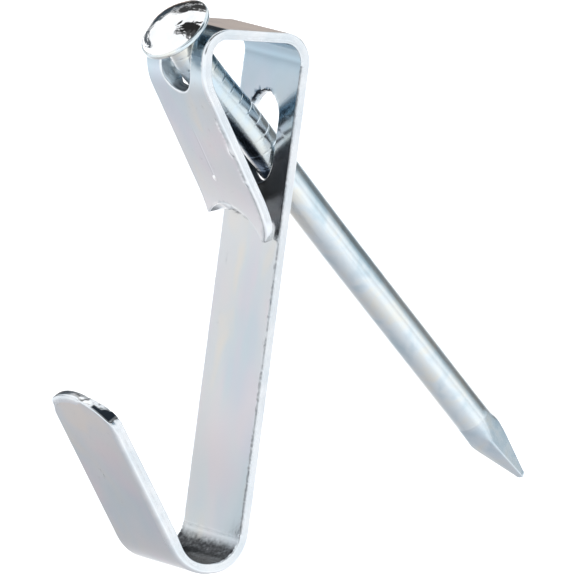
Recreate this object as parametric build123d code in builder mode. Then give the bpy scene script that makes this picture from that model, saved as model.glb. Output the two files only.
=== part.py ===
from build123d import *

import os
from math import cos, radians, sin

# Picture hanger: a springy strip of plated steel, bent round on itself, and the one nail
# that goes through it into the wall.
# Millimetres and degrees. X runs across the strip, +Y into the wall, +Z up.
# The origin is on the strip's back face, where the nail's axis enters the wall.

# Strip: its section, and the two slots that the nail goes through
STRIP_WIDTH = 6.35
STRIP_THICKNESS = 0.68
SLOT_WIDTH = 3.2
FRONT_SLOT_DROP = 4.25
BACK_SLOT_LENGTH = 5.75
SLOT_GAP_ABOVE_NAIL = 0.25
SLOT_GAP_BELOW_NAIL = 0.05

# Strip: the top loop, from the back corner over the top and down the front
TOP_RISE = 8.3
TOP_DEPTH = 8.62
BACK_TOP_RADIUS = 1.75
FRONT_TOP_RADIUS = 1.45
BROW_LENGTH = 3.25
BROW_LEAN = 5.8
BROW_RADIUS = 3.4

# Strip: the flap below the brow, which slants back to the strip and curls to lie along it
FLAP_ANGLE = 36.2
FLAP_LENGTH = 9.0
FLAP_CURL_RADIUS = 12.0
FLAP_CURL_ANGLE = 16.0
NOTCH_RADIUS = 3.15
NOTCH_DEPTH = 2.4
NOTCH_ASIDE = 0.7
RIGHT_HORN_RADIUS = 3.0
RIGHT_HORN_TURN = 38.0
LEFT_HORN_ROUND = 0.15

# Strip: the foot and the hook in front of it
FOOT_DROP = 26.34
FOOT_LENGTH = 4.13
FOOT_TILT = 8.5
BACK_FOOT_RADIUS = 2.3
FRONT_FOOT_RADIUS = 3.15
HOOK_LENGTH = 13.45
HOOK_ANGLE = 37.9
TIP_CREST_ASIDE = 0.6
TIP_LEFT_DROP = 0.65
TIP_RIGHT_DROP = 1.45
TIP_LEFT_ROUND = 0.5
TIP_RIGHT_ROUND = 0.8
TRIM_ALLOWANCE = 1.0

# Nail: its lie, its shank, and the thicker gripping length under the head
NAIL_ANGLE = 40.85
NAIL_REACH = 31.32
NAIL_DIAMETER = 2.32
GRIP_DIAMETER = 2.46
GRIP_PAST_WALL = 2.1
GRIP_TAPER = 0.6
GROOVE_COUNT = 9
GROOVE_PITCH = 1.03
GROOVE_WIDTH = 0.3
GROOVE_DEPTH = 0.09

# Nail: the domed head, which stands a little off the strip's front top bend
HEAD_DIAMETER = 4.9
HEAD_RIM = 0.34
HEAD_DOME = 1.07
DOME_INSET = 0.12
NECK_DIAMETER = 2.66
NECK_LENGTH = 0.7
HEAD_STANDS_OFF = 0.42

# Nail: the point, cut with four flats and flared a little where its corners start
FLAT_COUNT = 4
FLAT_TURN = 23.6
FLAT_OVERRUN = 0.3
POINT_LENGTH = 6.1
POINT_TIP_HALF = 0.15
POINT_ASIDE = 0.27
POINT_ASIDE_TURN = 68.6
TIP_CROWN = 0.4
FLARE = 0.09
FLARE_LENGTH = 1.0
FLARE_TO_TIP = 4.2

HALF_WIDTH = STRIP_WIDTH / 2
HALF_THICKNESS = STRIP_THICKNESS / 2
NAIL_RADIUS = NAIL_DIAMETER / 2
GRIP_RADIUS = GRIP_DIAMETER / 2
HEAD_RADIUS = HEAD_DIAMETER / 2
ACROSS = Vector(1, 0, 0)


def from_vertical(degrees, up):
    """A direction in the side plane: its Y part, then its Z part."""
    return Vector(sin(radians(degrees)), up * cos(radians(degrees)))


def in_space(point):
    """A side-plane point or direction as one in X, Y, Z."""
    return Vector(0, point.X, point.Y)


# Directions, in the side plane
down_the_brow = from_vertical(BROW_LEAN, -1)
down_the_flap = from_vertical(FLAP_ANGLE, -1)
along_the_foot = Vector(-cos(radians(FOOT_TILT)), -sin(radians(FOOT_TILT)))
up_the_hook = from_vertical(-HOOK_ANGLE, 1)
into_the_wall = Vector(cos(radians(NAIL_ANGLE)), -sin(radians(NAIL_ANGLE)))
over_the_nail = Vector(sin(radians(NAIL_ANGLE)), cos(radians(NAIL_ANGLE)))

# Corners of the strip's middle line in the side plane, before they are rounded
back_foot = Vector(-HALF_THICKNESS, -FOOT_DROP)
front_foot = back_foot + along_the_foot * FOOT_LENGTH
hook_end = front_foot + up_the_hook * (HOOK_LENGTH + TRIM_ALLOWANCE)
back_top = Vector(-HALF_THICKNESS, TOP_RISE - HALF_THICKNESS)
front_top = Vector(HALF_THICKNESS - TOP_DEPTH, TOP_RISE - HALF_THICKNESS)
top_middle = (back_top + front_top) / 2
brow = front_top + down_the_brow * BROW_LENGTH
flap_end = brow + down_the_flap * FLAP_LENGTH

# The front top bend's centre, where the head would touch it, and where the head is
bend_aside = FRONT_TOP_RADIUS * (1 + sin(radians(BROW_LEAN))) / cos(radians(BROW_LEAN))
bend_centre = front_top + Vector(bend_aside, -FRONT_TOP_RADIUS)
bend_outside = FRONT_TOP_RADIUS + HALF_THICKNESS
head_seat = bend_centre.dot(into_the_wall) - bend_outside
head_under = head_seat - HEAD_STANDS_OFF

# Planes that the cuts are drawn on, each with its y direction down or up its own leg
hook_plane = Plane(in_space(front_foot), ACROSS, ACROSS.cross(in_space(up_the_hook)))
flap_plane = Plane(in_space(brow), ACROSS, ACROSS.cross(in_space(down_the_flap)))
brow_plane = Plane(in_space(front_top), ACROSS, ACROSS.cross(in_space(down_the_brow)))
back_plane = Plane((0, 0, 0), ACROSS, ACROSS.cross(Vector(0, 0, 1)))
nail_cross_plane = Plane((0, 0, 0), ACROSS, in_space(into_the_wall))
nail_side_plane = Plane((0, 0, 0), ACROSS, ACROSS.cross(in_space(into_the_wall)))

os.makedirs("parts", exist_ok=True)

# The strip is bent in two stretches that meet in the middle of the top
with BuildPart() as hanger_strip:
    # First the top's front half, the brow and the flap, curled at its end
    with BuildSketch(Plane.YZ):
        with BuildLine():
            front_bends = FilletPolyline(
                top_middle, front_top, brow, flap_end, radius=[FRONT_TOP_RADIUS, BROW_RADIUS]
            )
            JernArc(front_bends @ 1, down_the_flap, FLAP_CURL_RADIUS, -FLAP_CURL_ANGLE)
        trace(line_width=STRIP_THICKNESS)
    extrude(amount=HALF_WIDTH, both=True)

    # The flap's end is notched, which leaves a short horn on the left and a long one on the right
    flap_reach = FLAP_LENGTH + FLAP_CURL_RADIUS * sin(radians(FLAP_CURL_ANGLE))
    horn_start = flap_reach - RIGHT_HORN_RADIUS * sin(radians(RIGHT_HORN_TURN))
    with BuildSketch(flap_plane):
        with Locations((-NOTCH_ASIDE, flap_reach - NOTCH_DEPTH + NOTCH_RADIUS)):
            Circle(NOTCH_RADIUS)
        with BuildLine():
            horn = JernArc((HALF_WIDTH, horn_start), (0, 1), RIGHT_HORN_RADIUS, RIGHT_HORN_TURN)
            beside = (HALF_WIDTH, flap_reach + TRIM_ALLOWANCE)
            Polyline(horn @ 1, (horn @ 1) + (horn % 1) * TRIM_ALLOWANCE, beside, horn @ 0)
        make_face()
    extrude(amount=2 * STRIP_THICKNESS, both=True, mode=Mode.SUBTRACT)
    notch_corners = hanger_strip.edges().filter_by(Axis(in_space(brow), flap_plane.z_dir))
    fillet(notch_corners.sort_by(Axis.X)[0], LEFT_HORN_ROUND)

    # The front slot runs down the brow, and up round the bend where the nail comes through
    with BuildSketch(brow_plane):
        with Locations((0, FRONT_SLOT_DROP - SLOT_WIDTH / 2)):
            Circle(SLOT_WIDTH / 2)
            Rectangle(SLOT_WIDTH, FRONT_TOP_RADIUS, align=(Align.CENTER, Align.MAX))
    extrude(amount=2 * STRIP_THICKNESS, both=True, mode=Mode.SUBTRACT)
    with BuildSketch(nail_cross_plane.offset(head_seat)):
        with Locations((0, SLOT_WIDTH / 2 - GRIP_RADIUS - SLOT_GAP_ABOVE_NAIL)):
            Circle(SLOT_WIDTH / 2)
    extrude(amount=bend_outside, mode=Mode.SUBTRACT)

    # Then the top's back half, the back, the foot and the hook
    with BuildSketch(Plane.YZ):
        with BuildLine():
            FilletPolyline(
                top_middle,
                back_top,
                back_foot,
                front_foot,
                hook_end,
                radius=[BACK_TOP_RADIUS, BACK_FOOT_RADIUS, FRONT_FOOT_RADIUS],
            )
        trace(line_width=STRIP_THICKNESS)
    extrude(amount=HALF_WIDTH, both=True)

    # The hook's tip is cut to a skewed crest, with round corners
    with BuildSketch(hook_plane):
        with BuildLine():
            left = Vector(-HALF_WIDTH, HOOK_LENGTH - TIP_LEFT_DROP)
            right = Vector(HALF_WIDTH, HOOK_LENGTH - TIP_RIGHT_DROP)
            beyond = HOOK_LENGTH + 2 * TRIM_ALLOWANCE
            ThreePointArc(left, (TIP_CREST_ASIDE, HOOK_LENGTH), right)
            Polyline(right, (HALF_WIDTH, beyond), (-HALF_WIDTH, beyond), left)
        make_face()
    extrude(amount=STRIP_THICKNESS, both=True, mode=Mode.SUBTRACT)
    tip_corners = hanger_strip.edges().filter_by(Axis(in_space(front_foot), hook_plane.z_dir))
    fillet(tip_corners.sort_by(Axis.X)[0], TIP_LEFT_ROUND)
    fillet(tip_corners.sort_by(Axis.X)[-1], TIP_RIGHT_ROUND)

    # The back slot stands on the nail and rises above it
    slot_foot = -GRIP_RADIUS / cos(radians(NAIL_ANGLE)) - SLOT_GAP_BELOW_NAIL
    with BuildSketch(back_plane):
        with Locations((0, slot_foot + BACK_SLOT_LENGTH / 2)):
            SlotOverall(BACK_SLOT_LENGTH, SLOT_WIDTH, rotation=90)
    extrude(amount=2 * STRIP_THICKNESS, both=True, mode=Mode.SUBTRACT)

hanger_strip.part.label = "hanger_strip"
export_step(hanger_strip.part, "parts/hanger_strip.step")

# The nail, turned about its own axis
with BuildPart() as nail:
    rim_top = head_under - HEAD_RIM
    crown = rim_top - HEAD_DOME
    flare_end = NAIL_REACH - FLARE_TO_TIP
    with BuildSketch(nail_side_plane):
        with BuildLine():
            dome_foot = Vector(HEAD_RADIUS - DOME_INSET, rim_top)
            dome_radius = (dome_foot.X**2 + HEAD_DOME**2) / (2 * HEAD_DOME)
            RadiusArc((0, crown), dome_foot, -dome_radius)
            shank = [dome_foot, (HEAD_RADIUS, rim_top + DOME_INSET), (HEAD_RADIUS, head_under)]
            shank.append((NECK_DIAMETER / 2, head_under))
            shank.append((GRIP_RADIUS, head_under + NECK_LENGTH))
            for groove in range(GROOVE_COUNT):
                middle = (groove - GROOVE_COUNT + 1) * GROOVE_PITCH
                shank.append((GRIP_RADIUS, middle - GROOVE_WIDTH / 2))
                shank.append((GRIP_RADIUS - GROOVE_DEPTH, middle))
                shank.append((GRIP_RADIUS, middle + GROOVE_WIDTH / 2))
            shank.append((GRIP_RADIUS, GRIP_PAST_WALL))
            shank.append((NAIL_RADIUS, GRIP_PAST_WALL + GRIP_TAPER))
            shank.append((NAIL_RADIUS, flare_end - FLARE_LENGTH))
            shank.append((NAIL_RADIUS + FLARE, flare_end))
            tip_edge = Vector(NAIL_RADIUS + FLARE, NAIL_REACH - TIP_CROWN)
            tip_radius = (tip_edge.X**2 + TIP_CROWN**2) / (2 * TIP_CROWN)
            shank.append(tip_edge)
            Polyline(shank)
            RadiusArc(tip_edge, (0, NAIL_REACH), -tip_radius)
            Line((0, NAIL_REACH), (0, crown))
        make_face()
    revolve(axis=Axis((0, 0, 0), in_space(into_the_wall)))

    # Each flat leans in to a tip that is a little off centre, and dies out in the shank
    for flat in range(FLAT_COUNT):
        turn = FLAT_TURN + flat * 360 / FLAT_COUNT
        outwards = ACROSS * cos(radians(turn)) + in_space(over_the_nail) * sin(radians(turn))
        with BuildSketch(Plane((0, 0, 0), outwards, outwards.cross(in_space(into_the_wall)))):
            with BuildLine():
                tip_half = POINT_TIP_HALF + POINT_ASIDE * cos(radians(turn - POINT_ASIDE_TURN))
                flat_tip = Vector(tip_half, NAIL_REACH)
                flat_start = Vector(NAIL_RADIUS, NAIL_REACH - POINT_LENGTH)
                inner = flat_tip + (flat_tip - flat_start) * FLAT_OVERRUN
                outer = flat_start + (flat_start - flat_tip) * FLAT_OVERRUN
                Polyline(inner, outer, (outer.X, inner.Y), close=True)
            make_face()
        extrude(amount=NAIL_DIAMETER, both=True, mode=Mode.SUBTRACT)

nail.part.label = "nail"
export_step(nail.part, "parts/nail.step")
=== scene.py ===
from functools import cache
from math import asin, atan2, ceil, cos, degrees, hypot, pi, radians, sin, sqrt, tan

import bmesh
import bpy
import numpy as np
from mathutils import Matrix, Vector, noise
from mathutils.geometry import delaunay_2d_cdt


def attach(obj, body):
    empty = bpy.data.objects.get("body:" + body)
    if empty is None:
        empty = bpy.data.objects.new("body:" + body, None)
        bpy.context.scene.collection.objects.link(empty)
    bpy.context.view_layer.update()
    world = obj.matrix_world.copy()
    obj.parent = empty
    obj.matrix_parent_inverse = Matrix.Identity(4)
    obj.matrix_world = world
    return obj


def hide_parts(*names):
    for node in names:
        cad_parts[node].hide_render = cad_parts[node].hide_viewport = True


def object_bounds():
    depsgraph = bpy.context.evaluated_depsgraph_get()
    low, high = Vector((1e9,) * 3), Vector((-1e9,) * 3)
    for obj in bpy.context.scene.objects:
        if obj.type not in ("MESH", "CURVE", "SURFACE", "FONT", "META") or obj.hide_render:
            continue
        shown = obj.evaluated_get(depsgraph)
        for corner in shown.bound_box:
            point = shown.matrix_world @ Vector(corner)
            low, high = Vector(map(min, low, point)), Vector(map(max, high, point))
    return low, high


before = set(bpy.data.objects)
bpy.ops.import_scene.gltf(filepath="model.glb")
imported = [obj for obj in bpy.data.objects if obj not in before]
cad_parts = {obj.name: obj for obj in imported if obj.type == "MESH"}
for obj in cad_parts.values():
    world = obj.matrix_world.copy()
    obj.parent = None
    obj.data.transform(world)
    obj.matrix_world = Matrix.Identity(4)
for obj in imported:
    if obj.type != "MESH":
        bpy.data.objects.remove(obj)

cad_low, cad_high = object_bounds()

# Sizes are in millimetres until a mesh is made. MM turns them into metres.
MM = 0.001

# The strip's side profile and blank. The sizes are those of the CAD source, but for the back slot's slants
# and place aside, the right horn's blunting and the round at the tip's left, which are as photographed.
WIDTH = 6.35
THICKNESS = 0.68
TOP_RISE = 8.3
TOP_DEPTH = 8.62
BACK_TOP_RADIUS = 1.75
FRONT_TOP_RADIUS = 1.45
BROW_LENGTH = 3.25
BROW_LEAN = 5.8
BROW_RADIUS = 3.4
FLAP_ANGLE = 36.2
FLAP_LENGTH = 9.0
CURL_RADIUS = 12.0
CURL_ANGLE = 16.0
FOOT_DROP = 26.34
FOOT_LENGTH = 4.13
FOOT_TILT = 8.5
BACK_FOOT_RADIUS = 2.3
FRONT_FOOT_RADIUS = 3.15
HOOK_LENGTH = 13.45
HOOK_ANGLE = 37.9
SLOT_RADIUS = 1.6
FRONT_SLOT_DROP = 4.25
FRONT_SLOT_TOP_SINE = 0.66
BACK_SLOT_LENGTH = 5.75
BACK_SLOT_FOOT = -1.676
BACK_SLOT_ASIDE = -0.17
BACK_SLOT_FOOT_SLANT = -0.16
BACK_SLOT_FOOT_NARROW = 0.3
NOTCH_RADIUS = 3.15
NOTCH_DEPTH = 2.4
NOTCH_ASIDE = 0.7
HORN_RADIUS = 3.0
HORN_TURN = 38.0
LEFT_HORN_ROUND = 0.15
RIGHT_HORN_BLUNT = 0.14
TIP_CREST_ASIDE = 0.6
TIP_LEFT_DROP = 0.65
TIP_RIGHT_DROP = 1.45
TIP_LEFT_ROUND = 0.32
TIP_RIGHT_ROUND = 0.8

# The nail. The sizes are those of the CAD source, but for its widths, its dome and how slowly it thins
# past the grip, which are as photographed.
NAIL_ANGLE = 40.85
NAIL_REACH = 31.32
NAIL_RADIUS = 1.19
GRIP_RADIUS = 1.245
GRIP_PAST_WALL = 2.1
GRIP_TAPER = 22.0
GROOVE_PITCH = 1.03
GROOVE_COUNT = 9
HEAD_RADIUS = 2.52
HEAD_RIM = 0.34
HEAD_DOME = 0.93
DOME_INSET = 0.12
NECK_RADIUS = 1.33
NECK_LENGTH = 0.7
HEAD_STANDS_OFF = 0.42
POINT_LENGTH = 6.1
POINT_TIP_HALF = 0.15
POINT_ASIDE = 0.27
POINT_ASIDE_TURN = 68.6
FLAT_TURN = 23.6
TIP_CROWN = 0.4
LOW_FLATS_OUT = 0.1
FLARE = 0.09
FLARE_LENGTH = 1.0
FLARE_TO_TIP = 4.2

HALF = WIDTH / 2
UP = THICKNESS / 2


# The strip's middle line

def turned(angle):
    """A direction in the side plane, as (Y, Z), at an angle from +Y towards +Z."""
    return np.array([cos(radians(angle)), sin(radians(angle))])


class Path:
    """The middle line of the strip from the hook's tip to the flap's end, by its length along."""

    def __init__(self):
        self.parts = []
        self.length = 0.0

    def line(self, start, end):
        self.parts.append((self.length, "line", start, (end - start) / np.linalg.norm(end - start), 0.0))
        self.length += float(np.linalg.norm(end - start))

    def arc(self, start, angle, radius, turn):
        """An arc from a point and heading. A positive turn is to the left."""
        self.parts.append((self.length, "arc", start, angle, radius * (1 if turn > 0 else -1)))
        self.length += radius * abs(radians(turn))

    def at(self, s):
        """The point and the outward normal at a length along."""
        at, kind, start, heading, radius = [p for p in self.parts if p[0] <= max(s, 0.0)][-1]
        if kind == "line":
            return start + heading * (s - at), np.array([heading[1], -heading[0]])
        centre = start + turned(heading + 90) * radius
        now = heading + degrees((s - at) / radius)
        return centre - turned(now + 90) * radius, turned(now - 90)


headings = [HOOK_ANGLE - 90, FOOT_TILT, 90, 180, 270 + BROW_LEAN, 270 + FLAP_ANGLE]
back_foot = np.array([-UP, -FOOT_DROP])
front_foot = back_foot - turned(FOOT_TILT) * FOOT_LENGTH
hook_tip = front_foot - turned(headings[0]) * HOOK_LENGTH
back_top = np.array([-UP, TOP_RISE - UP])
front_top = np.array([UP - TOP_DEPTH, TOP_RISE - UP])
brow = front_top + turned(headings[4]) * BROW_LENGTH
flap_end = brow + turned(headings[5]) * FLAP_LENGTH
corners = [hook_tip, front_foot, back_foot, back_top, front_top, brow, flap_end]
radii = [0, FRONT_FOOT_RADIUS, BACK_FOOT_RADIUS, BACK_TOP_RADIUS, FRONT_TOP_RADIUS, BROW_RADIUS]

path = Path()
# Each bend's start and end along the path, and how far both are from its corner
marks = {}
here = hook_tip
for i in range(1, 6):
    turn = headings[i] - headings[i - 1]
    cut = radii[i] * tan(radians(turn) / 2)
    bend_start = corners[i] - turned(headings[i - 1]) * cut
    path.line(here, bend_start)
    marks[i] = (path.length, path.length + radii[i] * radians(turn), cut)
    path.arc(bend_start, headings[i - 1], radii[i], turn)
    here = corners[i] + turned(headings[i]) * cut
path.line(here, flap_end)
curl_start = path.length
path.arc(flap_end, headings[5], CURL_RADIUS, -CURL_ANGLE)


def s_on_hook(v):
    """Length along for a distance up the hook from the front foot corner."""
    return HOOK_LENGTH - v


def s_on_back(z):
    """Length along for a height on the back."""
    return marks[2][1] + z - (back_foot[1] + marks[2][2])


def s_on_flap(v):
    """Length along for a distance down the flap's plane from the brow corner."""
    if v <= FLAP_LENGTH:
        return marks[5][1] + v - marks[5][2]
    return curl_start + CURL_RADIUS * asin(min(1.0, (v - FLAP_LENGTH) / CURL_RADIUS))


@cache
def s_on_brow(v):
    """Length along where the outer face is a distance down the brow from the front top corner."""
    low, high = marks[4][1], marks[5][1] + 2
    for _ in range(50):
        middle = (low + high) / 2
        point, out = path.at(middle)
        if (point + out * UP - front_top) @ turned(headings[4]) < v:
            low = middle
        else:
            high = middle
    return low


# The strip's blank, drawn flat: x across, s along

def lengths_along(line):
    return np.r_[0, np.cumsum(np.linalg.norm(np.diff(line, axis=0), axis=1))]


def points_at(line, lengths, places):
    """Points of a line at some lengths along it."""
    return np.c_[np.interp(places, lengths, line[:, 0]), np.interp(places, lengths, line[:, 1])]


def spaced(line, step):
    """The same line with points a step apart, its ends kept."""
    lengths = lengths_along(line)
    count = max(1, ceil(lengths[-1] / step))
    return points_at(line, lengths, np.linspace(0, lengths[-1], count + 1))


def bow(centre, radius, start, end, count=40):
    """Points on a circle between two angles in degrees."""
    angles = np.radians(np.linspace(start, end, count))
    return np.c_[centre[0] + radius * np.cos(angles), centre[1] + radius * np.sin(angles)]


def trimmed(line, length):
    """A line less that length at its end."""
    lengths = lengths_along(line)
    stop = lengths[-1] - length
    return np.vstack([line[lengths < stop], points_at(line, lengths, [stop])])


def joined_round(first, second, radius):
    """Two lines that meet at a corner, as one line with the corner rounded."""
    a, b = np.array(first, float), np.array(second, float)
    corner = a[-1]
    into = (a[-1] - a[-2]) / np.linalg.norm(a[-1] - a[-2])
    away = (b[1] - b[0]) / np.linalg.norm(b[1] - b[0])
    turn = np.arccos(np.clip(into @ away, -1, 1))
    back = radius * tan(turn / 2)
    a, b = trimmed(a, back), trimmed(b[::-1], back)[::-1]
    t = np.linspace(0, 1, 9)[1:-1, None]
    curve = (1 - t) ** 2 * a[-1] + 2 * t * (1 - t) * corner + t**2 * b[0]
    return np.vstack([a, curve, b])


def circle_through(a, b, c):
    """The centre and radius of the circle through three points."""
    a, b, c = (np.array(p, float) for p in (a, b, c))
    m = np.array([b - a, c - a]) * 2
    rhs = np.array([b @ b - a @ a, c @ c - a @ a])
    centre = np.linalg.solve(m, rhs)
    return centre, float(np.linalg.norm(a - centre))


RIM_STEP = 0.11
tip_left = (-HALF, s_on_hook(HOOK_LENGTH - TIP_LEFT_DROP))
tip_crest = (TIP_CREST_ASIDE, s_on_hook(HOOK_LENGTH))
tip_right = (HALF, s_on_hook(HOOK_LENGTH - TIP_RIGHT_DROP))
tip_centre, tip_radius = circle_through(tip_left, tip_crest, tip_right)
tip_from = degrees(atan2(tip_right[1] - tip_centre[1], tip_right[0] - tip_centre[0]))
tip_to = degrees(atan2(tip_left[1] - tip_centre[1], tip_left[0] - tip_centre[0]))
tip = bow(tip_centre, tip_radius, tip_from, tip_to)

flap_reach = FLAP_LENGTH + CURL_RADIUS * sin(radians(CURL_ANGLE))
notch_centre = (-NOTCH_ASIDE, flap_reach - NOTCH_DEPTH + NOTCH_RADIUS)
notch_left = degrees(-np.arccos((-HALF + NOTCH_ASIDE) / NOTCH_RADIUS))
notch_right = degrees(-asin((notch_centre[1] - flap_reach) / NOTCH_RADIUS))
notch = bow(notch_centre, NOTCH_RADIUS, notch_left, notch_right)
horn_centre = (HALF - HORN_RADIUS, flap_reach - HORN_RADIUS * sin(radians(HORN_TURN)))
horn = bow(horn_centre, HORN_RADIUS, HORN_TURN, 0)
notch, horn = (np.array([[x, s_on_flap(v)] for x, v in line]) for line in (notch, horn))

left_edge = [(-HALF, tip_left[1]), (-HALF, notch[0][1])]
blunt = notch[-1][1] - RIGHT_HORN_BLUNT
outline = joined_round(left_edge, notch, LEFT_HORN_ROUND)
outline = outline[(outline[:, 0] < 0) | (outline[:, 1] < blunt)]
outline = np.vstack([outline, horn[horn[:, 1] < blunt], [(HALF, tip_right[1])]])
outline = joined_round(outline, tip, TIP_RIGHT_ROUND)
# Closed on the left edge, without the first point, which is the tip's sharp corner
outline = joined_round(outline, [(-HALF, tip_left[1]), (-HALF, 5)], TIP_LEFT_ROUND)[1:]


def half_circle(x, s, start):
    """A slot's round end, about a centre."""
    return bow((x, s), SLOT_RADIUS, start, start + 180)


front_high = marks[4][0] + FRONT_TOP_RADIUS * (radians(90 - NAIL_ANGLE) - asin(FRONT_SLOT_TOP_SINE))
front_round = [(x, s_on_brow(v)) for x, v in half_circle(0, FRONT_SLOT_DROP - SLOT_RADIUS, 0)]
front_slot = np.vstack([half_circle(0, front_high + SLOT_RADIUS, 180), front_round])
back_low = s_on_back(BACK_SLOT_FOOT)
back_high = s_on_back(BACK_SLOT_FOOT + BACK_SLOT_LENGTH)
back_round = half_circle(BACK_SLOT_ASIDE, back_low + SLOT_RADIUS, 180)
back_slot = np.vstack([back_round, half_circle(BACK_SLOT_ASIDE, back_high - SLOT_RADIUS, 0)])


def loop(points):
    """A closed line with even points, counter-clockwise."""
    points = spaced(np.vstack([points, points[:1]]), RIM_STEP)[:-1]
    x, y = points[:, 0], points[:, 1]
    area = np.sum(x * np.roll(y, -1) - np.roll(x, -1) * y)
    return points if area > 0 else points[::-1]


def inward(points):
    """A unit-wide step to the left of a closed line at each point, mitred at its corners."""
    before = points - np.roll(points, 1, axis=0)
    after = np.roll(points, -1, axis=0) - points
    before /= np.linalg.norm(before, axis=1)[:, None]
    after /= np.linalg.norm(after, axis=1)[:, None]
    one = np.c_[-before[:, 1], before[:, 0]]
    two = np.c_[-after[:, 1], after[:, 0]]
    both = one + two
    return both / np.maximum(np.sum(both * both, axis=1) / 2, 0.8)[:, None]


def inside(points, polygon):
    """Which points lie in a closed line."""
    x, y = points[:, 0], points[:, 1]
    found = np.zeros(len(points), bool)
    for (x0, y0), (x1, y1) in zip(polygon, np.roll(polygon, -1, axis=0)):
        if y0 == y1:
            continue
        crosses = (y0 > y) != (y1 > y)
        found ^= crosses & (x < (x1 - x0) * (y - y0) / (y1 - y0) + x0)
    return found


blank = loop(outline)
holes = [loop(front_slot), loop(back_slot)]


# Marks pressed in the flap: two scored lines that each end in a small raised dot

SCORES = [(-0.55, 3.7, 7.8), (3.02, 3.1, 7.6)]
SCORE_HALF = 0.07
SCORE_DEPTH = 0.012
DOT_RADIUS = 0.2
DOT_HEIGHT = 0.06
BEAD_LINE = 2.9
BEAD_HALF = 0.2
scores = [(x, s_on_flap(a), s_on_flap(b)) for x, a, b in SCORES]


def clipped(value):
    """The value, kept between zero and one."""
    return max(0.0, min(1.0, value))


def smooth(low, high, value):
    """From nothing at low to one at high, eased at both."""
    t = clipped((value - low) / (high - low))
    return t * t * (3 - 2 * t)


def hump(value, low, high, soft):
    """One between low and high, falling to nothing over a soft margin."""
    return clipped(min(value - low, high - value) / soft + 1)


def wobble(x, s, scale, salt):
    return noise.noise(Vector((x * scale, s * scale, salt)))


def relief(x, s):
    """How far the outer face stands out or in at a place."""
    out = 0.0
    beads = max(0.0, 1 - abs(x - BEAD_LINE) / BEAD_HALF) * hump(s, scores[1][1], scores[1][2] - 0.3, 0.4)
    if beads > 0:
        out += 0.1 * beads * max(0.0, 0.25 + wobble(0, s, 2.6, 4.4) + wobble(0, s, 7, 2.8))
    for sx, start, end in scores:
        if start < s < end:
            fade = min(1.0, (s - start) / 1.5)
            out -= SCORE_DEPTH * fade * max(0.0, 1 - ((x - sx) / SCORE_HALF) ** 2)
        off = ((x - sx) ** 2 + (s - end) ** 2) / DOT_RADIUS**2
        if off < 1:
            out += DOT_HEIGHT * (1 - off) ** 0.7
    swell = noise.noise(Vector((x * 0.55, s * 0.35, 3.1)))
    return out + 0.004 * swell


def places_between(low, high, step):
    """Even places from low to high, no more than a step apart."""
    return list(np.linspace(low, high, max(2, ceil((high - low) / step) + 1)))


FLAT_STEP = 0.3
BEND_STEP = 0.11
COLUMNS = 29
RIM_CLEAR = 0.06


def face_points(ring, hole_rings):
    """Points all over the inside of the face, closer together in the bends and at the marks."""
    stations = []
    cuts = [0.0] + [v for i in range(1, 6) for v in marks[i][:2]] + [curl_start, path.length]
    for i, (low, high) in enumerate(zip(cuts[:-1], cuts[1:])):
        stations += places_between(low, high, BEND_STEP if i % 2 else FLAT_STEP)[:-1]
    grid = np.array([(x, s) for s in stations for x in np.linspace(-HALF, HALF, COLUMNS)])
    fine = []
    for sx, start, end in scores:
        for s in np.arange(start - 0.1, end + 0.35, 0.05):
            fine += [(sx + dx, s) for dx in np.arange(-0.24, 0.25, 0.04)]
        at_score = (abs(grid[:, 0] - sx) < 0.29) & (grid[:, 1] > start - 0.15) & (grid[:, 1] < end + 0.4)
        grid = grid[~at_score]
    points = np.vstack([grid, fine])
    good = inside(points, ring)
    edges = np.vstack([ring] + hole_rings)
    for hole in hole_rings:
        good &= ~inside(points, hole)
    points = points[good]
    near = np.array([np.min(np.sum((edges - p) ** 2, axis=1)) for p in points])
    return points[near > RIM_CLEAR**2]


def filled(ring, hole_rings):
    """Triangles over a face between its rim and its slots."""
    points = face_points(ring, hole_rings)
    verts, edges = [], []
    for line in [ring] + hole_rings:
        n, m = len(verts), len(line)
        verts += [tuple(p) for p in line]
        edges += [(n + i, n + (i + 1) % m) for i in range(m)]
    verts += [tuple(p) for p in points]
    flat, _, tris, *_ = delaunay_2d_cdt([Vector(v) for v in verts], edges, [], 0, 1e-7)
    flat = np.array([tuple(v) for v in flat])
    tris = np.array(tris)
    middles = flat[tris].mean(axis=1)
    keep = inside(middles, ring)
    for hole in hole_rings:
        keep &= ~inside(middles, hole)
    return flat, tris[keep]


def in_scene(name, data):
    """A new object in the scene."""
    piece = bpy.data.objects.new(name, data)
    bpy.context.scene.collection.objects.link(piece)
    return piece


def bands(rows, count, first=0):
    """The faces between closed rows of points, with that many points to a row."""
    faces = []
    for row in range(first, first + (rows - 1) * count, count):
        for i in range(count):
            j = (i + 1) % count
            faces.append((row + i, row + count + i, row + count + j, row + j))
    return faces


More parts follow.
